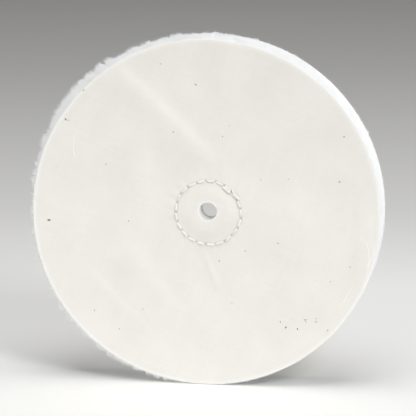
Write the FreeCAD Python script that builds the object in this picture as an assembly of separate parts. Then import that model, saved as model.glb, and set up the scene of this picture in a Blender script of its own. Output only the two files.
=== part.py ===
import FreeCAD, Part
import math
import os

# A loose cotton buffing wheel: a stack of round muslin plies with an arbor hole punched through
# its middle and one ring of lockstitch round the hole.
#
# The origin is the middle of the arbor hole. The wheel turns about the Y axis, its front face
# looks along -Y, and +Z is up. All sizes are in millimetres.

# ---- cloth ----
WHEEL_DIAMETER = 152.4        # every ply is cut to this
PLY_COUNT = 40
PLY_THICKNESS = 0.28          # muslin where the seam doesn't press it
RIM_WIDTH = 22.0              # over the first and last ply at the rim, where the plies stand apart
BORE_DIAMETER = 8.0           # arbor hole

# ---- seam ----
STITCH_CIRCLE_DIAMETER = 28.8
STITCH_COUNT = 21
SEAM_START_ANGLE = 25.7       # degrees from +X towards +Z: the first needle hole
THREAD_DIAMETER = 0.6
THREAD_CLEARANCE = 0.05       # between a thread and whatever it passes
DOUBLED_STITCH_RAISE = 0.36   # the two doubled stitches ride up this far on the first ones
THREAD_SINK = 0.05            # the doubled stitches stay this far below the clamping face
OVERLAP_LOOP_DEPTH = 1.3      # how far the doubled stitches go into the cloth
SEAM_MARGIN = 0.4             # pressed cloth beyond the needle holes, on each side
PRESS_RAMP = 1.5              # radial run of the slope from the clamping face to the pressed ring

# ---- worked out from the above ----
WHEEL_RADIUS = WHEEL_DIAMETER / 2
BORE_RADIUS = BORE_DIAMETER / 2
STITCH_RADIUS = STITCH_CIRCLE_DIAMETER / 2
STITCH_ANGLE = 360.0 / STITCH_COUNT

# A loop's two legs stand LEG_OFFSET from the needle hole's axis, which leaves room between them
# for the other thread. A stitch bends round the hole's edge at the named clearance.
LEG_OFFSET = THREAD_DIAMETER + THREAD_CLEARANCE
BEND_RADIUS = THREAD_DIAMETER / 2 + THREAD_CLEARANCE
NEEDLE_HOLE_RADIUS = LEG_OFFSET + THREAD_DIAMETER / 2 + THREAD_CLEARANCE

# The seam presses the stack until its stitches lie below the clamping faces.
SEAM_DROP = THREAD_CLEARANCE + THREAD_DIAMETER + DOUBLED_STITCH_RAISE + THREAD_SINK
HUB_THICKNESS = PLY_COUNT * PLY_THICKNESS
SEAM_THICKNESS = HUB_THICKNESS - 2 * SEAM_DROP
PRESSED_PLY = SEAM_THICKNESS / PLY_COUNT
RIM_PITCH = (RIM_WIDTH - PLY_THICKNESS) / (PLY_COUNT - 1)

SEAM_INNER_RADIUS = STITCH_RADIUS - NEEDLE_HOLE_RADIUS - SEAM_MARGIN
SEAM_OUTER_RADIUS = STITCH_RADIUS + NEEDLE_HOLE_RADIUS + SEAM_MARGIN
CLAMP_RADIUS = SEAM_INNER_RADIUS - PRESS_RAMP

# Heights of a thread's centreline above the stack's middle plane, towards the thread's own face.
STITCH_HEIGHT = SEAM_THICKNESS / 2 + BEND_RADIUS
DOUBLED_HEIGHT = STITCH_HEIGHT + DOUBLED_STITCH_RAISE
LINK_HEIGHT = -LEG_OFFSET / 2
OVERLAP_HEIGHT = SEAM_THICKNESS / 2 - OVERLAP_LOOP_DEPTH
TWIST_START_HEIGHT = OVERLAP_HEIGHT - LEG_OFFSET
TWIST_END_HEIGHT = 2 * LEG_OFFSET
TWIST_BEND_RADIUS = 1.0

WHEEL_AXIS = FreeCAD.Vector(0, 1, 0)
CENTRE = FreeCAD.Vector(0, 0, 0)


def flare(start, end):
    """Arc from start to end, tangent at start to the flat pressed ring."""
    run = end.x - start.x
    rise = end.y - start.y
    radius = (run ** 2 + rise ** 2) / (2 * rise)
    half_angle = math.asin(run / radius) / 2
    middle = FreeCAD.Vector(
        start.x + radius * math.sin(half_angle), start.y + radius * (1 - math.cos(half_angle)), 0
    )
    return Part.Arc(start, middle, end).toShape()


def cloth_face(level, rim_height):
    """Half section of one face of a ply, from the bore to the rim.

    Level counts the faces of the pressed stack from the front, so one level is shared by the back
    of a ply and the front of the next.
    """
    steps = level - PLY_COUNT / 2
    bore = FreeCAD.Vector(BORE_RADIUS, steps * PLY_THICKNESS, 0)
    clamp = FreeCAD.Vector(CLAMP_RADIUS, steps * PLY_THICKNESS, 0)
    seam_inner = FreeCAD.Vector(SEAM_INNER_RADIUS, steps * PRESSED_PLY, 0)
    seam_outer = FreeCAD.Vector(SEAM_OUTER_RADIUS, steps * PRESSED_PLY, 0)
    rim = FreeCAD.Vector(WHEEL_RADIUS, rim_height, 0)
    if level == PLY_COUNT / 2:
        ring = [Part.makeLine(bore, seam_outer)]
    else:
        ring = [
            Part.makeLine(bore, clamp),
            Part.makeLine(clamp, seam_inner),
            Part.makeLine(seam_inner, seam_outer),
        ]
    return bore, rim, ring + [flare(seam_outer, rim)]


def needle_holes():
    """The needle's holes through the whole stack."""
    holes = []
    for hole in range(STITCH_COUNT):
        foot = seam_point(hole, 0, 0, -RIM_WIDTH)
        holes.append(Part.makeCylinder(NEEDLE_HOLE_RADIUS, 2 * RIM_WIDTH, foot, WHEEL_AXIS))
    return Part.makeCompound(holes)


def ply(index, holes):
    """One ply: flat at the hub, pressed thinner by the seam, standing free towards the rim."""
    rim_front = -RIM_WIDTH / 2 + index * RIM_PITCH
    front_bore, front_rim, front = cloth_face(index, rim_front)
    back_bore, back_rim, back = cloth_face(index + 1, rim_front + PLY_THICKNESS)
    rim_edge = Part.makeLine(front_rim, back_rim)
    bore_edge = Part.makeLine(back_bore, front_bore)
    section = Part.Face(Part.Wire(front + [rim_edge] + back[::-1] + [bore_edge]))
    return section.revolve(CENTRE, WHEEL_AXIS, 360).cut(holes)


def seam_point(hole, along, across, height):
    """Point beside a needle hole: along the seam, across it (outwards), and along the axis."""
    angle = math.radians(SEAM_START_ANGLE + hole * STITCH_ANGLE)
    outwards = FreeCAD.Vector(math.cos(angle), 0, math.sin(angle))
    forwards = FreeCAD.Vector(-math.sin(angle), 0, math.cos(angle))
    return outwards * (STITCH_RADIUS + across) + forwards * along + WHEEL_AXIS * height


def linked_loop(hole, twisted):
    """Corners of the loop that goes down one needle hole and links with the other thread.

    The needle thread's loop lies along the seam. The bobbin thread's legs are twisted a quarter
    turn, so that its loop lies across the seam and passes through the needle thread's.
    """
    down = [(hole, -LEG_OFFSET, 0, STITCH_HEIGHT, BEND_RADIUS)]
    up = [(hole, LEG_OFFSET, 0, STITCH_HEIGHT, BEND_RADIUS)]
    if not twisted:
        down.append((hole, -LEG_OFFSET, 0, LINK_HEIGHT, LEG_OFFSET))
        up.append((hole, LEG_OFFSET, 0, LINK_HEIGHT, LEG_OFFSET))
        return down + up[::-1]
    down.append((hole, -LEG_OFFSET, 0, TWIST_START_HEIGHT, TWIST_BEND_RADIUS))
    down.append((hole, 0, -LEG_OFFSET, TWIST_END_HEIGHT, TWIST_BEND_RADIUS))
    down.append((hole, 0, -LEG_OFFSET, LINK_HEIGHT, LEG_OFFSET))
    up.append((hole, LEG_OFFSET, 0, TWIST_START_HEIGHT, TWIST_BEND_RADIUS))
    up.append((hole, 0, LEG_OFFSET, TWIST_END_HEIGHT, TWIST_BEND_RADIUS))
    up.append((hole, 0, LEG_OFFSET, LINK_HEIGHT, LEG_OFFSET))
    return down + up[::-1]


def doubled_stitches():
    """Corners of the two stitches that lie beside the first ones where the seam overlaps.

    The thread starts in hole 0, stays outside the first row to hole 1, turns under it, stays
    inside it to hole 2, and turns there into the first row.
    """
    corner_loop = LEG_OFFSET / math.sqrt(2)
    return [
        (0, 0, LEG_OFFSET, OVERLAP_HEIGHT, 0),
        (0, 0, LEG_OFFSET, DOUBLED_HEIGHT, BEND_RADIUS),
        (1, 0, LEG_OFFSET, DOUBLED_HEIGHT, BEND_RADIUS),
        (1, 0, LEG_OFFSET, OVERLAP_HEIGHT, LEG_OFFSET),
        (1, 0, -LEG_OFFSET, OVERLAP_HEIGHT, LEG_OFFSET),
        (1, 0, -LEG_OFFSET, DOUBLED_HEIGHT, BEND_RADIUS),
        (2, 0, -LEG_OFFSET, DOUBLED_HEIGHT, BEND_RADIUS),
        (2, 0, -LEG_OFFSET, OVERLAP_HEIGHT, corner_loop),
        (2, LEG_OFFSET, 0, OVERLAP_HEIGHT, corner_loop),
        (2, LEG_OFFSET, 0, STITCH_HEIGHT, BEND_RADIUS),
    ]


def thread_route(side, twisted):
    """One thread's centreline as corner points, each with the radius that rounds it."""
    last_hole = STITCH_COUNT + 2
    corners = doubled_stitches()
    for hole in range(3, last_hole):
        corners += linked_loop(hole, twisted)
    corners.append((last_hole, -LEG_OFFSET, 0, STITCH_HEIGHT, BEND_RADIUS))
    corners.append((last_hole, -LEG_OFFSET, 0, OVERLAP_HEIGHT, 0))
    return [
        (seam_point(hole, along, across, side * height), radius)
        for hole, along, across, height, radius in corners
    ]


def rounded_wire(corners):
    """Straight runs between the corners, joined by tangent arcs."""
    edges = []
    reached = corners[0][0]
    for before, (corner, radius), after in zip(corners, corners[1:], corners[2:]):
        arriving = (corner - before[0]).normalize()
        leaving = (after[0] - corner).normalize()
        half_turn = arriving.getAngle(leaving) / 2
        arc_start = corner - arriving * (radius * math.tan(half_turn))
        arc_end = corner + leaving * (radius * math.tan(half_turn))
        inwards = (leaving - arriving).normalize()
        arc_middle = corner + inwards * (radius / math.cos(half_turn) - radius)
        if (arc_start - reached).Length > Part.Precision.confusion():
            edges.append(Part.makeLine(reached, arc_start))
        edges.append(Part.Arc(arc_start, arc_middle, arc_end).toShape())
        reached = arc_end
    edges.append(Part.makeLine(reached, corners[-1][0]))
    return Part.Wire(edges)


def thread(side, twisted):
    """One sewing thread, made whole along its route through the stack."""
    corners = thread_route(side, twisted)
    start = corners[0][0]
    direction = corners[1][0] - start
    section = Part.Wire([Part.makeCircle(THREAD_DIAMETER / 2, start, direction)])
    return rounded_wire(corners).makePipeShell([section], True, False)


def save(shape, node):
    """Write one node's solid."""
    shape.exportStep(os.path.join("parts", node + ".step"))


os.makedirs("parts", exist_ok=True)

STACK_HOLES = needle_holes()
for ply_index in range(PLY_COUNT):
    save(ply(ply_index, STACK_HOLES), f"ply_{ply_index + 1:02d}")

FRONT = -1
BACK = 1
save(thread(FRONT, twisted=False), "needle_thread")
save(thread(BACK, twisted=True), "bobbin_thread")
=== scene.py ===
"""Loose cotton buffing wheel: cloth plies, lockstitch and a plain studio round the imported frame."""

import logging
import math
from dataclasses import dataclass, field
from enum import Enum

import bpy
import numpy as np
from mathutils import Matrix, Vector


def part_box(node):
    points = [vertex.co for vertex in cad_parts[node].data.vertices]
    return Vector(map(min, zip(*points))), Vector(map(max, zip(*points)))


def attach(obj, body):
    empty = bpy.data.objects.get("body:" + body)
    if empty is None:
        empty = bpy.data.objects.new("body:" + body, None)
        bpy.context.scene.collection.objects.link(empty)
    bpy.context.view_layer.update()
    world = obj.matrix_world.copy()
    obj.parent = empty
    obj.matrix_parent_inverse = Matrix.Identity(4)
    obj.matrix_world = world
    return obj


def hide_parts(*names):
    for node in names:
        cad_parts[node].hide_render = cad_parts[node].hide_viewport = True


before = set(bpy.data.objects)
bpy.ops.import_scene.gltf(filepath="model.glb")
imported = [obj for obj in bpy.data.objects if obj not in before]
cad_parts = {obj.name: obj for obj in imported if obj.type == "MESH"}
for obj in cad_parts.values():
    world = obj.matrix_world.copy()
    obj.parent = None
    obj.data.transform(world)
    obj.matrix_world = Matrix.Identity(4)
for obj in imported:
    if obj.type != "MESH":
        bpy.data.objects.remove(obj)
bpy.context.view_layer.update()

LOG = logging.getLogger("buffing_wheel")
MM = 0.001
BODY = "root"
CLOTH_UV = "cloth"
# fluff: a vertex amount for the frayed edges, which sets their paler tone, painted highlight and painted
# glow.
FLUFF = "fluff"
# drawn: how far the stitches draw the cloth in, used for painted shade in the needle dimples and groove.
DRAWN = "drawn"


class Side(Enum):
    """The two faces of the wheel, by the sign of Y that they look along."""

    FRONT = -1
    BACK = 1


# ---------------------------------------------------------------------------------------------
# Working with meshes
# ---------------------------------------------------------------------------------------------


def deselect_all() -> None:
    """Leave object mode clean, with nothing selected."""
    if bpy.context.object and bpy.context.object.mode != "OBJECT":
        bpy.ops.object.mode_set(mode="OBJECT")
    bpy.ops.object.select_all(action="DESELECT")


def make_active(obj: bpy.types.Object) -> None:
    """Select one object alone and make it active.

    Args:
        obj: the object to select.
    """
    deselect_all()
    obj.select_set(True)
    bpy.context.view_layer.objects.active = obj


def positions(mesh: bpy.types.Mesh) -> np.ndarray:
    """Vertex positions of a mesh, one row each.

    Args:
        mesh: the mesh to read.

    Returns:
        Positions shaped (vertices, 3).
    """
    co = np.zeros(len(mesh.vertices) * 3)
    mesh.vertices.foreach_get("co", co)
    return co.reshape(-1, 3)


def set_positions(mesh: bpy.types.Mesh, co: np.ndarray) -> None:
    """Write vertex positions back to a mesh."""
    mesh.vertices.foreach_set("co", co.astype(np.float32).ravel())
    mesh.update()


def loop_corners(mesh: bpy.types.Mesh) -> np.ndarray:
    """The vertex that each face corner of a mesh stands on.

    Args:
        mesh: the mesh to read.

    Returns:
        One vertex number for each face corner.
    """
    corner = np.zeros(len(mesh.loops), dtype=np.int32)
    mesh.loops.foreach_get("vertex_index", corner)
    return corner


def write_map(mesh: bpy.types.Mesh, places: np.ndarray) -> None:
    """Give a mesh its cloth map and nothing else.

    Args:
        mesh: the mesh.
        places: one row (along, across) for each face corner, in metres.
    """
    while mesh.uv_layers:
        mesh.uv_layers.remove(mesh.uv_layers[0])
    layer = mesh.uv_layers.new(name=CLOTH_UV)
    layer.data.foreach_set("uv", places.astype(np.float32).ravel())


def write_amount(mesh: bpy.types.Mesh, name: str, amount: np.ndarray) -> None:
    """Store one number for each vertex under a name that a material can read."""
    layer = mesh.attributes.new(name, "FLOAT", "POINT")
    layer.data.foreach_set("value", amount.astype(np.float32))


def smooth_piece(piece: bpy.types.Object, angle: float) -> None:
    """Turn a piece's faces outwards and shade it smooth.

    Args:
        piece: the active piece.
        angle: edges sharper than this many degrees stay sharp.
    """
    bpy.ops.object.mode_set(mode="EDIT")
    bpy.ops.mesh.select_all(action="SELECT")
    bpy.ops.mesh.normals_make_consistent(inside=False)
    bpy.ops.object.mode_set(mode="OBJECT")
    bpy.ops.object.shade_smooth_by_angle(angle=math.radians(angle))


def smooth_step(value: np.ndarray, low: float, high: float) -> np.ndarray:
    """Rise smoothly from 0 at low to 1 at high."""
    t = np.clip((value - low) / (high - low), 0.0, 1.0)
    return t * t * (3.0 - 2.0 * t)


def wavy(angle: np.ndarray, rng: np.random.Generator, lowest: int, highest: int) -> np.ndarray:
    """A smooth random wave round the wheel that stays between -1 and 1.

    Args:
        angle: angles round the wheel, in radians.
        rng: the source of the wave's phases.
        lowest: fewest waves in one turn.
        highest: most waves in one turn.

    Returns:
        The wave's value at each angle.
    """
    total = np.zeros_like(angle)
    size = 0.0
    for waves in range(lowest, highest + 1):
        strength = rng.uniform(0.3, 1.0) / math.sqrt(waves)
        total = total + strength * np.cos(waves * angle + rng.uniform(0.0, 2.0 * math.pi))
        size += strength
    return total / size


# ---------------------------------------------------------------------------------------------
# The shape of the stack
# ---------------------------------------------------------------------------------------------


@dataclass(frozen=True)
class Fold:
    """One soft fold that stands on a face of the wheel, in millimetres (x, z)."""

    start: tuple[float, float]
    end: tuple[float, float]
    height: float
    left: float
    right: float
    closing: float = 1.0

    def lift(self, x: np.ndarray, z: np.ndarray) -> np.ndarray:
        """Height of the fold above the cloth at points x, z, all in metres.

        Args:
            x: places on the wheel, to the right, in metres.
            z: places on the wheel, upwards, in metres.

        Returns:
            The height at each place, in metres.
        """
        ax, az = (v * MM for v in self.start)
        bx, bz = (v * MM for v in self.end)
        length = math.hypot(bx - ax, bz - az)
        ux, uz = (bx - ax) / length, (bz - az) / length
        along = ((x - ax) * ux + (z - az) * uz) / length
        across = (x - ax) * uz - (z - az) * ux
        narrowing = 1.0 + (self.closing - 1.0) * np.clip(along, 0.0, 1.0)
        flank = np.where(across > 0.0, self.right, self.left) * MM * narrowing
        ends = smooth_step(along, -0.25, 0.25) * (1.0 - smooth_step(along, 0.7, 1.2))
        return self.height * MM * np.exp(-((across / flank) ** 2)) * ends


FRONT_FOLDS = (
    Fold((11.0, 80.0), (4.5, 50.0), 0.8, 5.0, 8.0, 0.6),
    Fold((-40.0, 62.0), (1.0, 22.0), 0.9, 4.0, 10.0),
    Fold((-30.0, 36.0), (-32.0, -26.0), 0.9, 5.5, 11.0),
    Fold((-54.0, -26.5), (-24.0, -57.0), 0.24, 1.7, 7.0),
    Fold((-40.0, -14.0), (-14.0, -46.0), 0.7, 4.5, 10.0),
    Fold((-2.5, -17.5), (5.5, -36.0), 0.28, 1.2, 1.4),
    Fold((25.0, 4.0), (23.0, -22.0), 0.35, 9.0, 2.6),
    Fold((38.0, 2.0), (46.0, -46.0), 1.0, 18.0, 14.0),
    Fold((68.5, 6.0), (66.5, -28.0), 0.55, 3.5, 3.0),
)
BACK_FOLDS = (
    Fold((-12.0, 76.0), (-5.0, 42.0), 1.1, 8.0, 2.5, 0.5),
    Fold((52.0, 44.0), (10.0, 16.0), 0.8, 6.0, 13.0),
    Fold((-62.0, 8.0), (-24.0, -4.0), 0.7, 5.0, 10.0),
    Fold((8.0, -20.0), (32.0, -64.0), 0.8, 12.0, 5.0),
    Fold((-22.0, -18.0), (-46.0, -50.0), 0.7, 6.0, 9.0),
)


@dataclass(frozen=True)
class Seam:
    """The ring of lockstitch, in metres and degrees, as the frame has it."""

    radius: float = 14.4 * MM
    stitches: int = 21
    start_angle: float = 25.7
    thread: float = 0.6 * MM
    clearance: float = 0.05 * MM
    half_width: float = 1.4 * MM
    doubled_raise: float = 0.36 * MM
    drift: float = -0.7 * MM
    wander: float = 0.4 * MM

    def centre(self, hole: float) -> tuple[float, float]:
        """Place of a needle hole: the row is guided by hand, so it strays a little.

        Args:
            hole: number of the needle hole, from 0.

        Returns:
            The place as (x, z), in metres.
        """
        angle = self.hole_angle(hole)
        stray = self.wander * (
            0.5 * math.cos(2.0 * angle + 0.7) + 0.3 * math.cos(5.0 * angle) - 0.2 * math.sin(7.0 * angle)
        )
        reach = self.radius - 0.35 * self.wander + stray
        return reach * math.cos(angle), reach * math.sin(angle) + self.drift

    @property
    def leg_offset(self) -> float:
        """How far each leg of a loop stands from the needle hole's axis."""
        return self.thread + self.clearance

    def hole_angle(self, hole: float) -> float:
        """Angle of a needle hole round the wheel, in radians."""
        return math.radians(self.start_angle + hole * 360.0 / self.stitches)


@dataclass(frozen=True)
class Stack:
    """The forty plies as one springy pile: where each lies at any place on the wheel."""

    rim_radius: float
    rim_half: float
    bore_radius: float = 4.0 * MM
    hub_half: float = 5.4 * MM
    seam_half: float = 4.62 * MM
    hub_radius: float = 8.0 * MM
    press_radius: float = 13.8 * MM
    plies: int = 40
    cloth: float = 0.2 * MM
    bunching: float = 0.68
    pucker: float = 0.13 * MM
    dimple_depth: float = 0.45 * MM
    dimple_length: float = 0.85 * MM
    dimple_width: float = 0.55 * MM
    groove_depth: float = 0.16 * MM
    fold_strength: float = 1.4
    seam: Seam = field(default_factory=Seam)
    seed: int = 7

    def half_thickness(self, radius: np.ndarray) -> np.ndarray:
        """Half the stack's thickness: full at the hub, pressed at the seam, open at the rim.

        Args:
            radius: distances from the wheel's axis, in metres.

        Returns:
            Half the thickness at each distance, in metres.
        """
        outer = self.seam.radius + self.seam.half_width
        pressed = smooth_step(radius, self.hub_radius, self.press_radius)
        share = np.clip((radius - outer) / (self.rim_radius - outer), 0.0, None)
        opened = (self.rim_half - self.seam_half) * share**2
        return self.hub_half - (self.hub_half - self.seam_half) * pressed + opened

    def relief(self, side: Side, x: np.ndarray, z: np.ndarray) -> np.ndarray:
        """Waves, puckers and needle dimples of one face, outwards from the stack, in metres.

        Args:
            side: the face.
            x: places on the wheel, to the right, in metres.
            z: places on the wheel, upwards, in metres.

        Returns:
            The relief at each place, in metres.
        """
        radius = np.hypot(x, z)
        angle = np.arctan2(z, x)
        rng = np.random.default_rng(self.seed + side.value)
        reach = (radius / self.rim_radius) ** 3
        broad = wavy(angle, rng, 2, 5) * 0.5 * MM * reach
        ripple = wavy(angle, rng, 9, 16) * 0.2 * MM * reach**2
        ring = np.exp(-(((radius - self.seam.radius - 2.2 * MM) / (1.8 * MM)) ** 2))
        phase = self.seam.stitches * (angle - self.seam.hole_angle(0.5))
        strength = 0.6 + 0.4 * wavy(angle, rng, 1, 4)
        puckers = self.pucker * ring * strength * np.cos(phase)
        return broad + ripple + puckers - self.drawn_in(x, z)

    def folds(self, ply: int, x: np.ndarray, z: np.ndarray) -> np.ndarray:
        """How far an outermost ply's own folds lift it off the next, towards its side.

        Args:
            ply: number of the ply from the front, from 0.
            x: places on the wheel, to the right, in metres.
            z: places on the wheel, upwards, in metres.

        Returns:
            The shift in Y at each place, in metres.
        """
        if ply not in (0, self.plies - 1):
            return np.zeros_like(x)
        side, folds = (Side.FRONT, FRONT_FOLDS) if ply == 0 else (Side.BACK, BACK_FOLDS)
        free = smooth_step(np.hypot(x, z), self.seam.radius + self.seam.half_width, 24.0 * MM)
        return side.value * self.fold_strength * free * sum(fold.lift(x, z) for fold in folds)

    def height(self, ply: int, x: np.ndarray, z: np.ndarray) -> np.ndarray:
        """Y of a ply's middle surface.

        The plies share the stack's free room, so that no ply passes through another: each keeps
        its place between the two faces, a little nearer to one neighbour or the other.

        Args:
            ply: number of the ply from the front, from 0.
            x: places on the wheel, to the right, in metres.
            z: places on the wheel, upwards, in metres.

        Returns:
            Y at each place, in metres.
        """
        radius = np.hypot(x, z)
        angle = np.arctan2(z, x)
        half = self.half_thickness(radius) - self.cloth / 2
        front = -half - self.relief(Side.FRONT, x, z)
        back = half + self.relief(Side.BACK, x, z)
        share = ply / (self.plies - 1)
        room = np.clip(1.0 - self.cloth * (self.plies - 1) / (back - front), 0.0, 1.0)
        rng = np.random.default_rng(self.seed)
        inside = min(max((share - 0.1) / 0.8, 0.0), 1.0)
        shift = np.zeros_like(radius)
        for order, strength in ((3, 0.3), (7, 0.35), (13, 0.35)):
            wave = wavy(angle, rng, 1, 4)
            shift = shift + strength * math.sin(math.pi * order * inside) / (math.pi * order) * wave
        even = front + (back - front) * (share + self.bunching * room * shift)
        return even + self.folds(ply, x, z)

    def drawn_in(self, x: np.ndarray, z: np.ndarray) -> np.ndarray:
        """How far the stitches and their holes draw the cloth in, in metres.

        Args:
            x: places on the wheel, to the right, in metres.
            z: places on the wheel, upwards, in metres.

        Returns:
            The depth at each place, in metres.
        """
        depth = np.zeros_like(x)
        for hole in range(self.seam.stitches):
            angle = self.seam.hole_angle(hole)
            px, pz = self.seam.centre(hole)
            out = (x - px) * math.cos(angle) + (z - pz) * math.sin(angle)
            along = (z - pz) * math.cos(angle) - (x - px) * math.sin(angle)
            away = (out / self.dimple_width) ** 2 + (along / self.dimple_length) ** 2
            depth = np.maximum(depth, self.dimple_depth * np.exp(-away))
            nx, nz = self.seam.centre(hole + 1)
            run = math.hypot(nx - px, nz - pz)
            share = np.clip(((x - px) * (nx - px) + (z - pz) * (nz - pz)) / run**2, 0.0, 1.0)
            off = np.hypot(x - px - share * (nx - px), z - pz - share * (nz - pz))
            depth = np.maximum(depth, self.groove_depth * np.exp(-((off / self.dimple_width) ** 2)))
        return depth


# ---------------------------------------------------------------------------------------------
# Finishes
# ---------------------------------------------------------------------------------------------


@dataclass
class NodeBench:
    """Places and wires the nodes of one material or node group."""

    tree: bpy.types.NodeTree

    def add(self, kind: str, **settings: object) -> bpy.types.Node:
        """Place one node and give it its settings.

        Args:
            kind: Blender's name for the kind of node.
            **settings: the node's own properties, by name.

        Returns:
            The node.
        """
        node = self.tree.nodes.new(kind)
        for name, value in settings.items():
            setattr(node, name, value)
        return node

    def feed(self, socket: bpy.types.NodeSocket, value: object) -> None:
        """Wire a socket to another socket, or set its number, vector or colour."""
        if isinstance(value, bpy.types.NodeSocket):
            self.tree.links.new(value, socket)
        else:
            socket.default_value = value

    def math(self, operation: str, *values: object) -> bpy.types.NodeSocket:
        """One arithmetic step; its inputs are sockets or numbers.

        Args:
            operation: the step's name.
            *values: what goes in, in order.

        Returns:
            The step's output.
        """
        node = self.add("ShaderNodeMath", operation=operation)
        for socket, value in zip(node.inputs, values):
            self.feed(socket, value)
        return node.outputs[0]

    def scaled(self, vector: object, size: tuple[float, float, float]) -> bpy.types.NodeSocket:
        """A vector stretched along its axes.

        Args:
            vector: socket of the vector.
            size: how much to stretch along x, y and z.

        Returns:
            The stretched vector.
        """
        node = self.add("ShaderNodeVectorMath", operation="MULTIPLY")
        self.feed(node.inputs[0], vector)
        self.feed(node.inputs[1], size)
        return node.outputs[0]

    def noise(self, vector: object, scale: object, detail: float = 2.0) -> bpy.types.NodeSocket:
        """Soft noise between 0 and 1.

        Args:
            vector: socket of the place to read at.
            scale: bumps per metre.
            detail: how many finer layers are added.

        Returns:
            The noise's value.
        """
        node = self.add("ShaderNodeTexNoise")
        self.feed(node.inputs["Vector"], vector)
        self.feed(node.inputs["Scale"], scale)
        self.feed(node.inputs["Detail"], detail)
        return node.outputs["Fac"]

    def between(self, value: object, low: float, high: float) -> bpy.types.NodeSocket:
        """A value as a share of the way from low to high, held between 0 and 1.

        Args:
            value: socket of the value.
            low: the value that gives 0.
            high: the value that gives 1.

        Returns:
            The share.
        """
        node = self.add("ShaderNodeMapRange", clamp=True)
        self.feed(node.inputs["Value"], value)
        self.feed(node.inputs["From Min"], low)
        self.feed(node.inputs["From Max"], high)
        return node.outputs["Result"]

    def blend(self, share: object, low: object, high: object, mode: str = "MIX") -> bpy.types.NodeSocket:
        """Mix two colours.

        Args:
            share: how much of the second colour shows.
            low: the first colour.
            high: the second colour.
            mode: how they are mixed.

        Returns:
            The mixed colour.
        """
        node = self.add("ShaderNodeMix", data_type="RGBA", blend_type=mode)
        self.feed(node.inputs["Factor"], share)
        self.feed(node.inputs["A"], low)
        self.feed(node.inputs["B"], high)
        return node.outputs["Result"]


def new_group(name: str, inputs: dict[str, tuple[str, object]], outputs: dict[str, str]) -> tuple:
    """Start a node group with named sockets.

    Args:
        name: the group's name.
        inputs: for each input its socket type and its value.
        outputs: for each output its socket type.

    Returns:
        The group, its bench, its input node and its output node.
    """
    group = bpy.data.node_groups.new(name, "ShaderNodeTree")
    for label, (kind, value) in inputs.items():
        socket = group.interface.new_socket(label, in_out="INPUT", socket_type=kind)
        if value is not None:
            socket.default_value = value
    for label, kind in outputs.items():
        group.interface.new_socket(label, in_out="OUTPUT", socket_type=kind)
    bench = NodeBench(group)
    return group, bench, bench.add("NodeGroupInput"), bench.add("NodeGroupOutput")


def plain_weave() -> bpy.types.NodeTree:
    """Node group: plain woven yarns, one over and one under, with their unevenness.

    Returns:
        The group, which puts out Height, Gap and Tone.
    """
    group, bench, given, result = new_group(
        "plain_weave",
        {
            "Vector": ("NodeSocketVector", None),
            "Yarns per Metre": ("NodeSocketFloat", 2400.0),
            "Unevenness": ("NodeSocketFloat", 0.35),
        },
        {"Height": "NodeSocketFloat", "Gap": "NodeSocketFloat", "Tone": "NodeSocketFloat"},
    )
    drift = bench.add("ShaderNodeTexNoise")
    bench.feed(drift.inputs["Vector"], given.outputs["Vector"])
    bench.feed(drift.inputs["Scale"], 180.0)
    bench.feed(drift.inputs["Detail"], 1.0)
    centred = bench.add("ShaderNodeVectorMath", operation="SUBTRACT")
    bench.feed(centred.inputs[0], drift.outputs["Color"])
    bench.feed(centred.inputs[1], (0.5, 0.5, 0.5))
    pushed = bench.add("ShaderNodeVectorMath", operation="MULTIPLY_ADD")
    bench.feed(pushed.inputs[0], centred.outputs[0])
    bench.feed(pushed.inputs[1], (0.0006, 0.0006, 0.0))
    bench.feed(pushed.inputs[2], given.outputs["Vector"])
    axes = bench.add("ShaderNodeSeparateXYZ")
    bench.feed(axes.inputs[0], pushed.outputs[0])
    warp = bench.math("MULTIPLY", axes.outputs["X"], given.outputs["Yarns per Metre"])
    weft = bench.math("MULTIPLY", axes.outputs["Y"], given.outputs["Yarns per Metre"])
    warp_round = bench.math("ABSOLUTE", bench.math("SINE", bench.math("MULTIPLY", warp, math.pi)))
    weft_round = bench.math("ABSOLUTE", bench.math("SINE", bench.math("MULTIPLY", weft, math.pi)))
    crossing = bench.math("ADD", bench.math("FLOOR", warp), bench.math("FLOOR", weft))
    over = bench.math("FLOORED_MODULO", crossing, 2.0)
    under = bench.math("SUBTRACT", 1.0, over)
    warp_top = bench.math("MULTIPLY", warp_round, bench.math("MULTIPLY_ADD", weft_round, 0.45, 0.55))
    weft_top = bench.math("MULTIPLY", weft_round, bench.math("MULTIPLY_ADD", warp_round, 0.45, 0.55))
    height = bench.math(
        "ADD", bench.math("MULTIPLY", warp_top, over), bench.math("MULTIPLY", weft_top, under)
    )
    warp_slub = bench.noise(bench.scaled(given.outputs["Vector"], (1900.0, 60.0, 1.0)), 1.0, 1.5)
    weft_slub = bench.noise(bench.scaled(given.outputs["Vector"], (60.0, 1900.0, 1.0)), 1.0, 1.5)
    slub = bench.math("ADD", warp_slub, weft_slub)
    tone = bench.math("SUBTRACT", slub, 1.0)
    uneven = bench.math("MULTIPLY", tone, given.outputs["Unevenness"])
    bench.feed(result.inputs["Height"], bench.math("ADD", height, uneven))
    # Gap marks the hollows between the yarns, where the muslin mixes in painted shade.
    bench.feed(result.inputs["Gap"], bench.math("SUBTRACT", 1.0, bench.between(height, 0.05, 0.5)))
    bench.feed(result.inputs["Tone"], tone)
    return group


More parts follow.
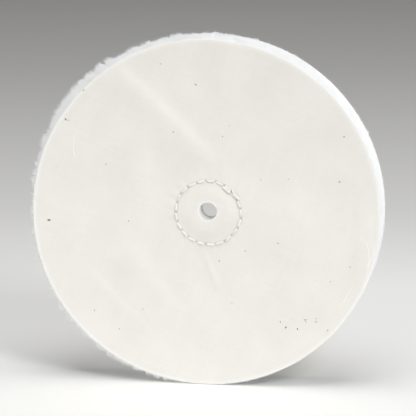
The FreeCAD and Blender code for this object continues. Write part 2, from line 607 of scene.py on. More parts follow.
def soft_mottle() -> bpy.types.NodeTree:
    """Node group: the uneven tone of unbleached cotton, with small specks of seed husk.

    Returns:
        The group, which puts out Patch and Speck.
    """
    group, bench, given, result = new_group(
        "soft_mottle",
        {
            "Vector": ("NodeSocketVector", None),
            "Patches per Metre": ("NodeSocketFloat", 60.0),
            "Specks per Metre": ("NodeSocketFloat", 110.0),
            "Speck Share": ("NodeSocketFloat", 0.16),
        },
        {"Patch": "NodeSocketFloat", "Speck": "NodeSocketFloat"},
    )
    patch = bench.noise(given.outputs["Vector"], given.outputs["Patches per Metre"], 4.0)
    cells = bench.add("ShaderNodeTexVoronoi")
    bench.feed(cells.inputs["Vector"], given.outputs["Vector"])
    bench.feed(cells.inputs["Scale"], given.outputs["Specks per Metre"])
    parts = bench.add("ShaderNodeSeparateColor")
    bench.feed(parts.inputs[0], cells.outputs["Color"])
    chosen = bench.math("LESS_THAN", parts.outputs["Red"], given.outputs["Speck Share"])
    size = bench.math("MULTIPLY_ADD", parts.outputs["Green"], 0.035, 0.015)
    inside = bench.math("LESS_THAN", cells.outputs["Distance"], size)
    bench.feed(result.inputs["Patch"], patch)
    bench.feed(result.inputs["Speck"], bench.math("MULTIPLY", chosen, inside))
    return group


def start_finish(name: str) -> tuple[bpy.types.Material, NodeBench, bpy.types.Node]:
    """Make a material with nothing in it but its Principled shader and its output.

    Args:
        name: the material's name.

    Returns:
        The material, its bench and its Principled shader.
    """
    material = bpy.data.materials.new(name)
    material.use_nodes = True
    material.node_tree.nodes.clear()
    bench = NodeBench(material.node_tree)
    shader = bench.add("ShaderNodeBsdfPrincipled")
    output = bench.add("ShaderNodeOutputMaterial")
    bench.feed(output.inputs["Surface"], shader.outputs["BSDF"])
    return material, bench, shader


def add_roughness(
    bench: NodeBench, shader: bpy.types.Node, pattern: object, low: float, high: float
) -> None:
    """Let a pattern vary how rough a surface is.

    Args:
        bench: the material's bench.
        shader: the Principled shader.
        pattern: socket of a pattern between 0 and 1.
        low: roughness where the pattern is 0.
        high: roughness where the pattern is 1.
    """
    rough = bench.add("ShaderNodeMapRange")
    bench.feed(rough.inputs["Value"], pattern)
    bench.feed(rough.inputs["To Min"], low)
    bench.feed(rough.inputs["To Max"], high)
    bench.feed(shader.inputs["Roughness"], rough.outputs["Result"])


def add_bump(
    bench: NodeBench, shader: bpy.types.Node, height: object, strength: float, depth: float
) -> None:
    """Raise a height pattern on a shader's surface.

    Args:
        bench: the material's bench.
        shader: the Principled shader.
        height: socket of the pattern's height.
        strength: how much of the bump shows, from 0 to 1.
        depth: the height in metres of a full step of the pattern.
    """
    bump = bench.add("ShaderNodeBump")
    bench.feed(bump.inputs["Height"], height)
    bench.feed(bump.inputs["Strength"], strength)
    bench.feed(bump.inputs["Distance"], depth)
    bench.feed(shader.inputs["Normal"], bump.outputs["Normal"])


@dataclass(frozen=True)
class MuslinFinish:
    """Unbleached cotton muslin: a soft matt weave, mottled and flecked; paler where it frays, partly a
    paler fibre tone and partly a painted highlight with a painted glow, and with painted shade in the
    weave's hollows and the needle dimples.
    """

    pale: tuple[float, float, float, float] = (0.892, 0.88, 0.845, 1.0)
    deep: tuple[float, float, float, float] = (0.86, 0.845, 0.805, 1.0)
    # Painted shade: the darker colour mixed into the hollows between the yarns.
    painted_weave_shade: tuple[float, float, float, float] = (0.66, 0.63, 0.55, 1.0)
    # Paler colours for the cut edges and the loose fluff: partly the paler tone of loose fibre, partly a
    # painted highlight; the fluff colour also feeds the painted glow.
    edge: tuple[float, float, float, float] = (0.95, 0.948, 0.92, 1.0)
    frayed: tuple[float, float, float, float] = (0.955, 0.965, 0.975, 1.0)
    # Painted shade: the darker colour mixed into the needle dimples and the groove that the stitches draw
    # in.
    pressed: tuple[float, float, float, float] = (0.62, 0.58, 0.50, 1.0)
    speck: tuple[float, float, float, float] = (0.42, 0.32, 0.20, 1.0)
    washed: tuple[float, float, float, float] = (0.955, 0.95, 0.94, 1.0)
    clear: tuple[float, float, float, float] = (1.0, 1.0, 1.0, 1.0)
    unlit: tuple[float, float, float, float] = (0.0, 0.0, 0.0, 1.0)
    painted_weave_shade_share: float = 0.30
    painted_dimple_shade_share: float = 0.75
    speck_share: float = 0.7
    roughness: float = 0.92
    # Painted light: how strongly the fluff glows, though it is no lamp, standing in for light scattered
    # through the fibres.
    painted_fluff_glow: float = 0.12
    weave_depth: float = 0.12 * MM

    def build(self, weave: bpy.types.NodeTree, mottle: bpy.types.NodeTree) -> bpy.types.Material:
        """Make the material from the shared node groups.

        Args:
            weave: the plain_weave group.
            mottle: the soft_mottle group.

        Returns:
            The muslin.
        """
        material, bench, shader = start_finish("muslin_cloth")
        uv = bench.add("ShaderNodeUVMap", uv_map=CLOTH_UV)
        yarns = bench.add("ShaderNodeGroup", node_tree=weave)
        bench.feed(yarns.inputs["Vector"], uv.outputs["UV"])
        patches = bench.add("ShaderNodeGroup", node_tree=mottle)
        bench.feed(patches.inputs["Vector"], uv.outputs["UV"])
        frayed = bench.add("ShaderNodeAttribute", attribute_name=FLUFF)
        patch = bench.between(patches.outputs["Patch"], 0.32, 0.68)
        colour = bench.blend(patch, self.deep, self.pale)
        yarn_share = bench.between(yarns.outputs["Tone"], -0.45, 0.45)
        yarn_tone = bench.blend(yarn_share, self.washed, self.clear)
        colour = bench.blend(1.0, colour, yarn_tone, "MULTIPLY")
        # Painted shade: darken the hollows between the yarns.
        painted_weave_shade_share = bench.math("MULTIPLY", yarns.outputs["Gap"], self.painted_weave_shade_share)
        colour = bench.blend(painted_weave_shade_share, colour, self.painted_weave_shade)
        # Paler at cut edges and fluff: partly a paler fibre tone, partly a painted highlight.
        colour = bench.blend(bench.between(frayed.outputs["Fac"], 0.0, 0.5), colour, self.edge)
        colour = bench.blend(bench.between(frayed.outputs["Fac"], 0.5, 1.0), colour, self.frayed)
        # Painted shade: darken the cloth where the stitches draw it in, by depth.
        drawn = bench.add("ShaderNodeAttribute", attribute_name=DRAWN)
        painted_dimple_shade_share = bench.math("MULTIPLY", drawn.outputs["Fac"], self.painted_dimple_shade_share)
        colour = bench.blend(painted_dimple_shade_share, colour, self.pressed)
        speck_share = bench.math("MULTIPLY", patches.outputs["Speck"], self.speck_share)
        colour = bench.blend(speck_share, colour, self.speck)
        bench.feed(shader.inputs["Base Color"], colour)
        # Painted light: the fluff glows in the frayed colour, though it is no lamp.
        painted_glow_share = bench.between(frayed.outputs["Fac"], 0.3, 1.0)
        bench.feed(shader.inputs["Emission Color"], bench.blend(painted_glow_share, self.unlit, self.frayed))
        bench.feed(shader.inputs["Emission Strength"], self.painted_fluff_glow)
        spread = 0.06
        add_roughness(
            bench, shader, patches.outputs["Patch"], self.roughness - spread, self.roughness + spread
        )
        bench.feed(shader.inputs["Specular IOR Level"], 0.2)
        bench.feed(shader.inputs["Sheen Weight"], 0.22)
        bench.feed(shader.inputs["Sheen Roughness"], 0.45)
        add_bump(bench, shader, yarns.outputs["Height"], 0.55, self.weave_depth)
        return material


@dataclass(frozen=True)
class ThreadFinish:
    """Bleached cotton sewing thread: bright, a little glossy, with fibres laid along its twist."""

    bright: tuple[float, float, float, float] = (0.985, 0.985, 0.975, 1.0)
    shaded: tuple[float, float, float, float] = (0.90, 0.895, 0.87, 1.0)
    roughness: float = 0.62

    def build(self) -> bpy.types.Material:
        """Make the material.

        Returns:
            The sewing thread.
        """
        material, bench, shader = start_finish("sewing_thread")
        uv = bench.add("ShaderNodeUVMap", uv_map=CLOTH_UV)
        fibres = bench.noise(bench.scaled(uv.outputs["UV"], (900.0, 14.0, 1.0)), 1.0, 3.0)
        share = bench.between(fibres, 0.3, 0.7)
        bench.feed(shader.inputs["Base Color"], bench.blend(share, self.shaded, self.bright))
        add_roughness(bench, shader, fibres, self.roughness + 0.1, self.roughness - 0.1)
        bench.feed(shader.inputs["Specular IOR Level"], 0.35)
        bench.feed(shader.inputs["Sheen Weight"], 0.25)
        bench.feed(shader.inputs["Sheen Roughness"], 0.4)
        add_bump(bench, shader, fibres, 0.6, 0.05 * MM)
        return material


@dataclass(frozen=True)
class HuskFinish:
    """Bits of cotton seed husk caught in the weave: dry, matt and brown."""

    dark: tuple[float, float, float, float] = (0.10, 0.07, 0.04, 1.0)
    light: tuple[float, float, float, float] = (0.33, 0.25, 0.16, 1.0)

    def build(self) -> bpy.types.Material:
        """Make the material.

        Returns:
            The seed husk.
        """
        material, bench, shader = start_finish("seed_husk")
        place = bench.add("ShaderNodeTexCoord")
        tone = bench.noise(place.outputs["Object"], 90.0, 1.0)
        colour = bench.blend(bench.between(tone, 0.35, 0.65), self.dark, self.light)
        bench.feed(shader.inputs["Base Color"], colour)
        grain = bench.noise(place.outputs["Object"], 6000.0, 2.0)
        add_roughness(bench, shader, grain, 0.7, 0.95)
        add_bump(bench, shader, grain, 0.5, 0.05 * MM)
        return material


# ---------------------------------------------------------------------------------------------
# The cloth
# ---------------------------------------------------------------------------------------------


def tapered_tubes(stations: np.ndarray, radii: np.ndarray, sides: int = 3) -> tuple[np.ndarray, list]:
    """Closed tapering tubes along many short lines at once.

    Args:
        stations: the points of each line from root to tip, shaped (tubes, points, 3).
        radii: the radius at each point but the tip, shaped (tubes, points - 1).
        sides: how many sides each tube has.

    Returns:
        Vertex positions, and faces as tuples of vertex numbers.
    """
    count, points, _ = stations.shape
    along = stations[:, -1] - stations[:, 0]
    first = np.cross(along, (0.1, 1.0, 0.05))
    first /= np.linalg.norm(first, axis=1, keepdims=True) + 1e-12
    second = np.cross(along, first)
    second /= np.linalg.norm(second, axis=1, keepdims=True) + 1e-12
    turn = 2.0 * math.pi * np.arange(sides) / sides
    ring = first[:, None] * np.cos(turn)[:, None] + second[:, None] * np.sin(turn)[:, None]
    body = stations[:, :-1, None] + radii[:, :, None, None] * ring[:, None]
    tubes = np.concatenate([body.reshape(count, -1, 3), stations[:, -1:]], axis=1)
    shape = [tuple(range(sides))[::-1]]
    for row in range(points - 2):
        for side in range(sides):
            near, far = row * sides + side, row * sides + (side + 1) % sides
            shape.append((near, far, far + sides, near + sides))
    tip = (points - 1) * sides
    shape += [(tip - sides + side, tip - sides + (side + 1) % sides, tip) for side in range(sides)]
    per_tube = tubes.shape[1]
    faces = [
        tuple(corner + tube * per_tube for corner in face) for tube in range(count) for face in shape
    ]
    return tubes.reshape(-1, 3), faces


@dataclass(frozen=True)
class Shag:
    """How far the rim has fluffed out, by angle in degrees from +X: yarn ends and cut edge."""

    angles: tuple[float, ...] = (
        0.0, 80.0, 100.0, 122.0, 130.0, 146.0, 153.0, 172.0, 200.0, 212.0, 238.0, 262.0, 300.0
    )
    lengths: tuple[float, ...] = (0.4, 0.7, 1.0, 2.0, 3.4, 4.4, 2.4, 1.4, 1.1, 1.6, 1.8, 1.0, 0.4)
    swell: tuple[float, ...] = (0.0, 0.1, 0.2, 0.2, 0.0, 0.0, 0.2, 0.6, 0.8, 0.6, 0.4, 0.0, 0.0)

    def at(self, angle: np.ndarray, amounts: tuple[float, ...]) -> np.ndarray:
        """One of the amounts, in metres, at an angle in radians."""
        return np.interp(np.degrees(angle) % 360.0, self.angles, amounts, period=360.0) * MM


FACE_SHAG = (0.3, 0.35, 0.5, 0.8, 1.1, 1.2, 0.8, 0.5, 0.5, 1.1, 1.6, 1.0, 0.3)


@dataclass(frozen=True)
class Tufts:
    """Places round the rim where the yarn ends of neighbouring plies have drawn to a point."""

    seed: int = 11
    bands: tuple[tuple[float, float, int, float, float, float, float], ...] = (
        (80.0, 124.0, 22, 1.6, 2.8, 34.0, 4.0),
        (124.0, 150.0, 18, 3.4, 4.8, 30.0, 6.0),
        (150.0, 174.0, 15, 2.0, 3.8, 14.0, 5.0),
        (174.0, 208.0, 15, 1.2, 2.6, 9.0, 3.0),
        (208.0, 242.0, 22, 1.8, 3.4, 8.0, 3.0),
        (242.0, 264.0, 12, 1.6, 2.8, 7.0, 3.0),
        (264.0, 440.0, 90, 0.5, 1.3, 38.0, 1.0),
    )

    def table(self) -> np.ndarray:
        """Every tuft as a row: angle, reach, half width, lean, middle ply, plies each way.

        Returns:
            One row for each tuft, with lengths in metres and the angle in radians.
        """
        rng = np.random.default_rng(self.seed)
        rows = []
        for start, end, count, shortest, longest, deepest, spread in self.bands:
            for index in range(count):
                angle = start + (index + rng.uniform(0.1, 0.9)) * (end - start) / count
                reach = rng.uniform(shortest, longest) * MM
                width = rng.uniform(1.1, 2.3) * MM
                lean = rng.normal(0.0, 0.25) * reach + 0.2 * reach
                middle = rng.uniform(2.0, deepest)
                each_way = rng.uniform(0.6, 1.3) * spread
                rows.append((math.radians(angle), reach, width, lean, middle, each_way))
        return np.array(rows)


@dataclass(frozen=True)
class Fringe:
    """Yarn ends and loose fibres standing out from a cut edge of one ply."""

    ends: int
    fibres: int
    end_length: float = 0.5 * MM
    fibre_length: float = 0.9 * MM
    yarn_radius: float = 0.13 * MM
    fibre_radius: float = 0.026 * MM
    furthest: float = 5.2 * MM
    rooted: float = 0.25 * MM
    outwards: float = 1.0
    shag: Shag | None = None
    tufts: np.ndarray | None = None

    def gather(self, ply: int, angle: np.ndarray, radius: np.ndarray) -> tuple:
        """Find the tuft, if any, that draws each line in.

        Args:
            ply: number of the ply from the front, from 0.
            angle: where each line stands, in radians.
            radius: how far out each line stands, in metres.

        Returns:
            How strongly each line is drawn in, its tuft's row, and how far along the rim that is.
        """
        if self.tufts is None:
            nothing = np.zeros_like(angle)
            return nothing, np.zeros((len(angle), 6)), nothing
        apart = (self.tufts[:, 0] - angle[:, None] + math.pi) % (2.0 * math.pi) - math.pi
        stray = 0.8 * MM * np.sin(1.9 * ply + 40.0 * self.tufts[:, 0])
        apart = apart * radius[:, None] + stray
        deep = (self.tufts[:, 4] - ply) / self.tufts[:, 5]
        weight = np.exp(-((apart / self.tufts[:, 2]) ** 2) - deep**2)
        best = weight.argmax(axis=1)
        rows = np.arange(len(angle))
        return smooth_step(weight[rows, best], 0.08, 0.5), self.tufts[best], apart[rows, best]

    def stations(
        self, rng: np.random.Generator, count: int, length: float, edge: "Outline", points: int
    ) -> np.ndarray:
        """The lines that the yarn ends or fibres follow, from root to tip.

        Args:
            rng: the ply's source of chance.
            count: how many lines.
            length: the usual length of a line.
            edge: the cut edge that they stand on.
            points: how many points each line has.

        Returns:
            Points in the frame, shaped (count, points, 3).
        """
        angle = (np.arange(count) + rng.uniform(0.0, 1.0, count)) * 2.0 * math.pi / count
        radius = edge.radius(angle)
        skew = (angle - edge.grain + math.pi / 4) % (math.pi / 2) - math.pi / 4
        drawn, tuft, apart = self.gather(edge.ply, angle, radius)
        chance = rng.gamma(5.0, 0.2, count)
        usual = length if self.shag is None else length * self.shag.at(angle, self.shag.lengths) / MM
        reach = np.minimum(usual * chance, 2.2 * usual) * (1.0 - drawn)
        pulled = drawn * tuft[:, 1] * np.clip(0.55 + 0.4 * chance, 0.6, 1.15)
        reach = np.minimum(reach + pulled, self.furthest)
        lean = (-0.5 * np.sin(skew) + rng.normal(0.0, 0.25, count)) * reach * (1.0 - drawn)
        lean = lean + drawn * (0.85 * apart + tuft[:, 3] + rng.normal(0.0, 0.2 * MM, count))
        wander = np.clip(rng.normal(0.0, 0.25, count) * reach, -0.8 * MM, 0.8 * MM) * (1.0 - drawn)
        wander = wander + drawn * np.clip((tuft[:, 4] - edge.ply) * 0.4 * MM, -2.4 * MM, 2.4 * MM)
        bow = rng.normal(0.0, 0.12, count) * reach
        share = np.linspace(0.0, 1.0, points)[None]
        along = lean[:, None] * share**1.3 + bow[:, None] * np.sin(math.pi * share)
        out = self.outwards * (reach[:, None] * share - self.rooted * (1.0 - share))
        turned = angle[:, None] + along / radius[:, None]
        far = radius[:, None] + out
        x, z = far * np.cos(turned), far * np.sin(turned)
        z = np.maximum(z, edge.floor)
        y = edge.height(angle)[:, None] + wander[:, None] * share**2
        return np.stack([x, y, z], axis=2)

    def build(self, rng: np.random.Generator, edge: "Outline") -> tuple[np.ndarray, list]:
        """The mesh of every yarn end and fibre on one edge: vertices and faces.

        Args:
            rng: the ply's source of chance.
            edge: the cut edge that they stand on.

        Returns:
            Vertex positions, and faces as tuples of vertex numbers.
        """
        yarns = self.stations(rng, self.ends, self.end_length, edge, 4)
        taper = np.array([0.8, 1.1, 0.85]) * self.yarn_radius
        thickness = rng.uniform(0.7, 1.2, (self.ends, 1)) * taper
        yarn_verts, yarn_faces = tapered_tubes(yarns, thickness)
        if not self.fibres:
            return yarn_verts, yarn_faces
        hairs = self.stations(rng, self.fibres, self.fibre_length, edge, 5)
        hair_taper = np.array([1.0, 1.0, 0.9, 0.7]) * self.fibre_radius
        hair_verts, hair_faces = tapered_tubes(hairs, np.tile(hair_taper, (self.fibres, 1)))
        shift = len(yarn_verts)
        hair_faces = [tuple(corner + shift for corner in face) for face in hair_faces]
        return np.concatenate([yarn_verts, hair_verts]), yarn_faces + hair_faces


@dataclass
class Outline:
    """One cut edge of one ply: how far out it runs, and where it lies."""

    stack: Stack
    ply: int
    base: float
    uneven: float
    grain: float
    floor: float
    seed: int
    shag: Shag | None = None

    def radius(self, angle: np.ndarray) -> np.ndarray:
        """How far from the wheel's axis the edge is at an angle.

        Args:
            angle: angles round the wheel, in radians.

        Returns:
            The distance at each angle, in metres.
        """
        rng = np.random.default_rng(self.seed)
        wide = wavy(angle, rng, 2, 7)
        fine = wavy(angle, rng, 24, 46)
        swell = self.shag.at(angle, self.shag.swell) if self.shag else 0.0
        return self.base + swell - self.uneven * (0.5 - 0.35 * wide - 0.15 * fine)

    def height(self, angle: np.ndarray) -> np.ndarray:
        """Y of the ply's middle surface along the edge."""
        radius = self.radius(angle)
        return self.stack.height(self.ply, radius * np.cos(angle), radius * np.sin(angle))


# Seed husks that stand out on the front, listed one by one: (x, z, size) in millimetres.
FLECKS = (
    (-62.0, 40.0, 1.0),
    (-70.0, -5.0, 1.2),
    (-20.0, 65.0, 0.6),
    (-5.0, 56.0, 0.9),
    (-15.0, 35.0, 0.7),
    (-45.0, 20.0, 0.6),
    (-35.0, -5.0, 0.6),
    (-50.0, -45.0, 0.6),
    (5.0, -22.0, 0.6),
    (58.0, 15.0, 0.8),
    (60.0, 35.0, 0.7),
    (35.0, -50.0, 0.9),
)
FLECK_PATCH = (44.0, -48.0)
PATCH_SPREAD = (6.0, 1.8)
PATCH_COUNT = 7
STREWN_FRONT = 9
STREWN_BACK = 26
LOOSE_YARNS = (
    ((70.0, -10.0), (73.0, -18.0), (70.0, -26.0)),
    ((65.0, -30.0), (62.0, -34.0), (60.0, -38.0)),
    ((73.0, -12.0), (74.0, -17.0), (70.0, -22.0)),
    ((-58.0, 34.0), (-60.0, 28.0), (-58.0, 22.0)),
)


@dataclass
class ClothPly:
    """One disc of muslin, cut round, with its needle holes drawn in and its edges frayed."""

    stack: Stack
    number: int
    fine: bool
    seed: int
    tufts: np.ndarray
    rim_uneven: float = 0.6 * MM
    bore_uneven: float = 0.5 * MM
    fine_spokes: int = 378
    plain_spokes: int = 189

    @property
    def name(self) -> str:
        """The piece's own name."""
        return f"muslin_ply_{self.number:02d}"

    @property
    def node(self) -> str:
        """The frame's name for this ply."""
        return f"ply_{self.number:02d}"

    @property
    def rim_fluff(self) -> float:
        """How frayed the rim looks, from 0 to 1, which sets its paler tone, painted highlight and painted
        glow: an outermost ply lies flatter and cleaner.
        """
        return 0.5 if self.fine else 1.0

    @property
    def side(self) -> Side:
        """The face of the wheel that the ply is nearer to."""
        return Side.FRONT if self.number <= self.stack.plies // 2 else Side.BACK

    def ring_radii(self) -> list[float]:
        """Radii of the disc's rings, close together where the seam puckers the cloth.

        Returns:
            Radii from the bore to the rim, in millimetres.
        """
        rim = self.stack.rim_radius / MM
        bore = self.stack.bore_radius / MM
        if self.fine:
            inner = np.arange(bore, 12.3, 0.6)
            middle = np.arange(12.4, 16.7, 0.2)
            outer = np.linspace(17.0, rim - 0.5, 52)
            return [*inner, *middle, *outer, rim]
        inner = [bore, 5.0, 7.5, 10.0, 11.5, 12.2, 13.0, 13.5, 13.9, 14.4, 14.9, 15.3, 15.8]
        outer = [17.0, 18.6, 21.0, 24.5, 29.0, 34.0, 39.5, 45.0, 51.0, 57.0, 63.0, 68.0, 72.0, 75.0]
        return [*inner, *outer, rim]

    def cut_disc(self) -> bpy.types.Object:
        """A flat ringed disc with its bore, upright on the wheel's axis.

        Returns:
            The disc, with no thickness yet.
        """
        spokes = self.fine_spokes if self.fine else self.plain_spokes
        radii = [radius * MM for radius in self.ring_radii()]
        deselect_all()
        bpy.ops.mesh.primitive_circle_add(
            vertices=spokes, radius=radii[0], fill_type="NOTHING", rotation=(math.pi / 2, 0.0, 0.0)
        )
        disc = bpy.context.object
        disc.name = self.name
        bpy.ops.object.transform_apply(location=True, rotation=True, scale=True)
        bpy.ops.object.mode_set(mode="EDIT")
        bpy.ops.mesh.select_all(action="SELECT")
        for near, far in zip(radii, radii[1:]):
            growth = far / near
            bpy.ops.mesh.extrude_region()
            bpy.ops.transform.resize(value=(growth, growth, growth), center_override=(0.0, 0.0, 0.0))
        bpy.ops.object.mode_set(mode="OBJECT")
        return disc

    def edges(self, rng: np.random.Generator) -> tuple[Outline, Outline]:
        """The ply's rim and its bore.

        Args:
            rng: the ply's source of chance.

        Returns:
            The outline of the rim and the outline of the bore.
        """
        grain = rng.uniform(0.0, math.pi / 2)
        rim_seed, bore_seed = (int(value) for value in rng.integers(0, 10**6, 2))
        uneven = self.rim_uneven * (0.6 if self.fine else rng.uniform(0.5, 1.5))
        ply, floor = self.number - 1, -self.stack.rim_radius
        bore_radius = self.stack.bore_radius
        bore_uneven = -self.bore_uneven * 0.5
        rim = Outline(self.stack, ply, self.stack.rim_radius, uneven, grain, floor, rim_seed, Shag())
        bore = Outline(self.stack, ply, bore_radius, bore_uneven, grain, floor, bore_seed)
        return rim, bore

    def drape(self, disc: bpy.types.Object, rim: Outline, bore: Outline) -> None:
        """Lay the flat disc in its place in the stack, with its own uneven edges.

        Args:
            disc: the flat disc.
            rim: the outline of its rim.
            bore: the outline of its bore.
        """
        co = positions(disc.data)
        radius = np.hypot(co[:, 0], co[:, 2])
        angle = np.arctan2(co[:, 2], co[:, 0]) + self.stack.seam.hole_angle(0.0)
        full = self.stack.rim_radius
        near_rim = smooth_step(radius, 0.9 * full, full)
        near_bore = 1.0 - smooth_step(radius, self.stack.bore_radius, 2.0 * self.stack.bore_radius)
        radius = radius + near_rim * (rim.radius(angle) - full)
        radius = radius + near_bore * (bore.radius(angle) - self.stack.bore_radius)
        x, z = radius * np.cos(angle), radius * np.sin(angle)
        set_positions(disc.data, np.stack([x, self.stack.height(self.number - 1, x, z), z], axis=1))

    def map_cloth(self, disc: bpy.types.Object, outline: Outline, rng: np.random.Generator) -> None:
        """Give the cloth its own map, in metres along and across the grain, and its fluff.

        Args:
            disc: the draped disc, with its thickness.
            outline: the outline of its rim.
            rng: the ply's source of chance.
        """
        grain = outline.grain
        mesh = disc.data
        co = positions(mesh)
        corner = loop_corners(mesh)
        shift = rng.uniform(0.0, 3.0, 2)
        along = co[:, 0] * math.cos(grain) + co[:, 2] * math.sin(grain) + shift[0]
        across = co[:, 2] * math.cos(grain) - co[:, 0] * math.sin(grain) + shift[1]
        write_map(mesh, np.stack([along, across], axis=1)[corner])
        radius = np.hypot(co[:, 0], co[:, 2])
        inside = outline.radius(np.arctan2(co[:, 2], co[:, 0])) - radius
        rim = 1.0 - smooth_step(inside, 0.1 * MM, 0.9 * MM)
        bore = 1.0 - smooth_step(radius, self.stack.bore_radius, self.stack.bore_radius + 0.9 * MM)
        # The fluff amount sets the paler fibre tone, painted highlight and painted glow at rim and bore.
        write_amount(mesh, FLUFF, self.rim_fluff * np.maximum(rim, bore))
        # The drawn-in depth, which the muslin turns into painted shade in the needle dimples and groove.
        depth = self.stack.drawn_in(co[:, 0], co[:, 2]) / self.stack.dimple_depth
        write_amount(mesh, DRAWN, np.clip(depth, 0.0, 1.0))

    def loose_mesh(
        self, name: str, verts: np.ndarray, faces: list, finish: bpy.types.Material, fluff: float
    ) -> bpy.types.Object:
        """A mesh of small things on the cloth, ready to be joined to it.

        Args:
            name: the mesh's name.
            verts: vertex positions, one row each.
            faces: faces as tuples of vertex numbers.
            finish: the material.
            fluff: how frayed it looks, from 0 to 1, which sets its paler tone, painted highlight and
                painted glow.

        Returns:
            The object, in place.
        """
        mesh = bpy.data.meshes.new(name)
        mesh.from_pydata([tuple(row) for row in verts], [], faces)
        mesh.materials.append(finish)
        mesh.uv_layers.new(name=CLOTH_UV)
        write_amount(mesh, FLUFF, np.full(len(verts), fluff))
        obj = bpy.data.objects.new(name, mesh)
        bpy.context.scene.collection.objects.link(obj)
        return obj

    def outer_surface(self, x: np.ndarray, z: np.ndarray) -> np.ndarray:
        """Y of the ply's face that looks out of the wheel."""
        y = self.stack.height(self.number - 1, x, z)
        return y + self.side.value * self.stack.cloth / 2

    def strew(self, rng: np.random.Generator, count: int, small: float, large: float) -> list[tuple]:
        """Spread places over the disc by chance.

        Args:
            rng: the source of chance.
            count: how many places.
            small: the smallest size, in millimetres.
            large: the largest size, in millimetres.

        Returns:
            The places as (x, z, size) in millimetres.
        """
        turn = rng.uniform(0.0, 2.0 * math.pi, count)
        out = np.sqrt(rng.uniform(0.08, 0.95, count)) * self.stack.rim_radius / MM
        return list(zip(out * np.cos(turn), out * np.sin(turn), rng.uniform(small, large, count)))

    def front_flecks(self) -> list[tuple]:
        """The flecks that stand out, a loose patch of them low on the right, and a few strewn.

        Returns:
            The places as (x, z, size) in millimetres.
        """
        rng = np.random.default_rng(self.seed + 5)
        patch = rng.normal(0.0, 1.0, (PATCH_COUNT, 2)) * PATCH_SPREAD + FLECK_PATCH
        sizes = rng.uniform(0.5, 0.8, PATCH_COUNT)
        strewn = self.strew(rng, STREWN_FRONT, 0.4, 0.6)
        return [*FLECKS, *zip(patch[:, 0], patch[:, 1], sizes), *strewn]

    def husks(self, rng: np.random.Generator) -> tuple[np.ndarray, list]:
        """Flat bits of seed husk lying in the face of the cloth: vertices and faces.

        Args:
            rng: the ply's source of chance.

        Returns:
            Vertex positions, and faces as tuples of vertex numbers.
        """
        if self.side is Side.FRONT:
            places = self.front_flecks()
        else:
            places = self.strew(rng, STREWN_BACK, 0.4, 0.9)
        verts, faces = [], []
        for x, z, size in places:
            lie = rng.uniform(0.0, math.pi)
            length, width = size * 0.62 * MM, size * rng.uniform(0.26, 0.4) * MM
            start = len(verts)
            ring = [k * math.pi / 3 for k in range(6)]
            flat = [(length * math.cos(a) * rng.uniform(0.8, 1.2), width * math.sin(a)) for a in ring]
            for u, v in [*flat, (0.0, 0.0), (0.0, 0.0)]:
                px = x * MM + u * math.cos(lie) - v * math.sin(lie)
                pz = z * MM + u * math.sin(lie) + v * math.cos(lie)
                verts.append([px, float(self.outer_surface(np.array(px), np.array(pz))), pz])
            verts[-2][1] += self.side.value * 0.11 * MM
            verts[-1][1] -= self.side.value * 0.08 * MM
            for k in range(6):
                faces.append((start + k, start + (k + 1) % 6, start + 6))
                faces.append((start + (k + 1) % 6, start + k, start + 7))
        return np.array(verts), faces

    def lying_yarns(self) -> tuple[np.ndarray, list]:
        """Loose yarns that lie on the front face: vertices and faces.

        Returns:
            Vertex positions, and faces as tuples of vertex numbers.
        """
        lines = []
        for first, middle, last in LOOSE_YARNS:
            share = np.linspace(0.0, 1.0, 9)
            a, b, c = (np.array(point) * MM for point in (first, middle, last))
            bend = (1 - share)[:, None] ** 2 * a + (2 * share * (1 - share))[:, None] * b
            flat = bend + share[:, None] ** 2 * c
            y = self.outer_surface(flat[:, 0], flat[:, 1]) + self.side.value * 0.05 * MM
            lines.append(np.stack([flat[:, 0], y, flat[:, 1]], axis=1))
        stations = np.array(lines)
        radii = np.full((len(lines), 8), 0.09 * MM)
        radii[:, 0] = 0.04 * MM
        return tapered_tubes(stations, radii, 5)

    def fringes(self) -> tuple[Fringe, Fringe]:
        """What stands out from the rim and what stands into the bore.

        Returns:
            The rim's fringe and the bore's fringe.
        """
        if self.fine:
            shag = Shag(lengths=FACE_SHAG)
            rim = Fringe(1150, 260, 1.0 * MM, 1.8 * MM, 0.08 * MM, shag=shag, tufts=self.tufts)
            return rim, Fringe(110, 60, 0.25 * MM, 0.5 * MM, outwards=-1.0)
        rim = Fringe(440, 90, 0.8 * MM, 1.5 * MM, shag=Shag(), tufts=self.tufts)
        return rim, Fringe(46, 8, 0.25 * MM, 0.5 * MM, outwards=-1.0)

    def build(self, cloth: bpy.types.Material, husk: bpy.types.Material) -> bpy.types.Object:
        """Make the ply: cut, drape, thicken, fray and dress it.

        Args:
            cloth: the muslin.
            husk: the bits of seed husk.

        Returns:
            The ply as one piece, in place.
        """
        rng = np.random.default_rng(self.seed * 1000 + self.number)
        rim, bore = self.edges(rng)
        disc = self.cut_disc()
        self.drape(disc, rim, bore)
        make_active(disc)
        wall = disc.modifiers.new("cloth", "SOLIDIFY")
        wall.thickness = self.stack.cloth
        wall.offset = 0.0
        wall.use_even_offset = True
        bpy.ops.object.modifier_apply(modifier=wall.name)
        disc.data.materials.append(cloth)
        self.map_cloth(disc, rim, rng)
        rim_fringe, bore_fringe = self.fringes()
        extras = [
            self.loose_mesh("rim_fringe", *rim_fringe.build(rng, rim), cloth, self.rim_fluff),
            self.loose_mesh("bore_fringe", *bore_fringe.build(rng, bore), cloth, 0.5),
        ]
        if self.fine:
            extras.append(self.loose_mesh("husks", *self.husks(rng), husk, 0.0))
        if self.number == 1:
            extras.append(self.loose_mesh("lying_yarns", *self.lying_yarns(), cloth, 0.8))
        make_active(disc)
        for extra in extras:
            extra.select_set(True)
        bpy.ops.object.join()
        smooth_piece(disc, 50.0)
        return disc


